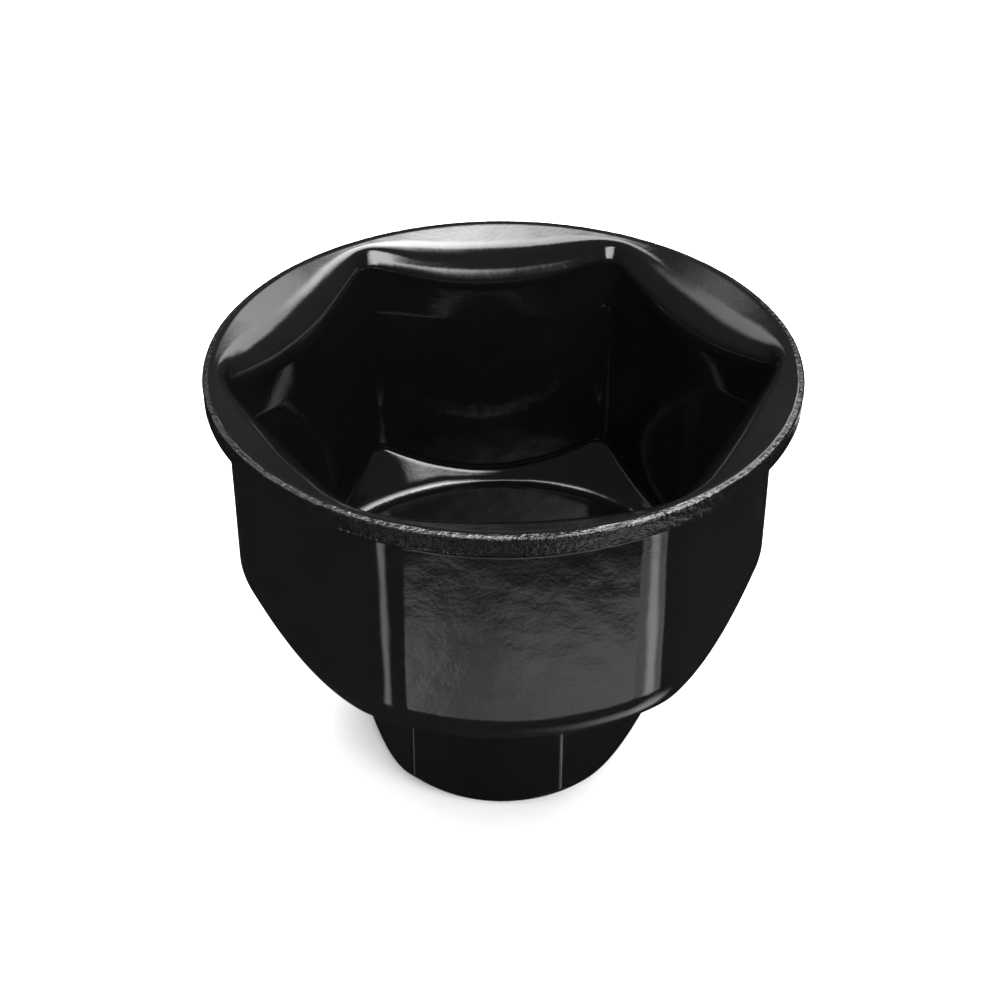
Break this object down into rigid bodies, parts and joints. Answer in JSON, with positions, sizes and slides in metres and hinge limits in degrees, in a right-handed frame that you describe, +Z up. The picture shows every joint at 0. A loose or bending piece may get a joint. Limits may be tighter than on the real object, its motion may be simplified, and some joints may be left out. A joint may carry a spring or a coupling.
{
  "type": "oil filter wrench",
  "caption": "Cap-type oil filter wrench: pressed cup with a flared round rim and a hexagonal socket, on a hexagonal boss with a square drive hole.",
  "frame": {"origin": "centre of the boss's lower face, which the wrench stands on with the mouth of the cup upwards", "axes": "+Z up along the tool's axis, out of the mouth of the cup; two corners of the cup's hexagon lie on the X axis and two of its flats are square to the Y axis"},
  "size_m": [0.0472, 0.0472, 0.038],
  "materials": {
    "cup_paint": "gloss black paint over pressed steel, with a light orange peel",
    "boss_paint": "gloss black paint over machined steel",
    "weld_paint": "gloss black paint over a rippled weld"
  },
  "bodies": {
    "root": {"cup": "cup_paint", "drive_boss": "boss_paint", "weld_bead": "weld_paint"}
  },
  "joints": []
}
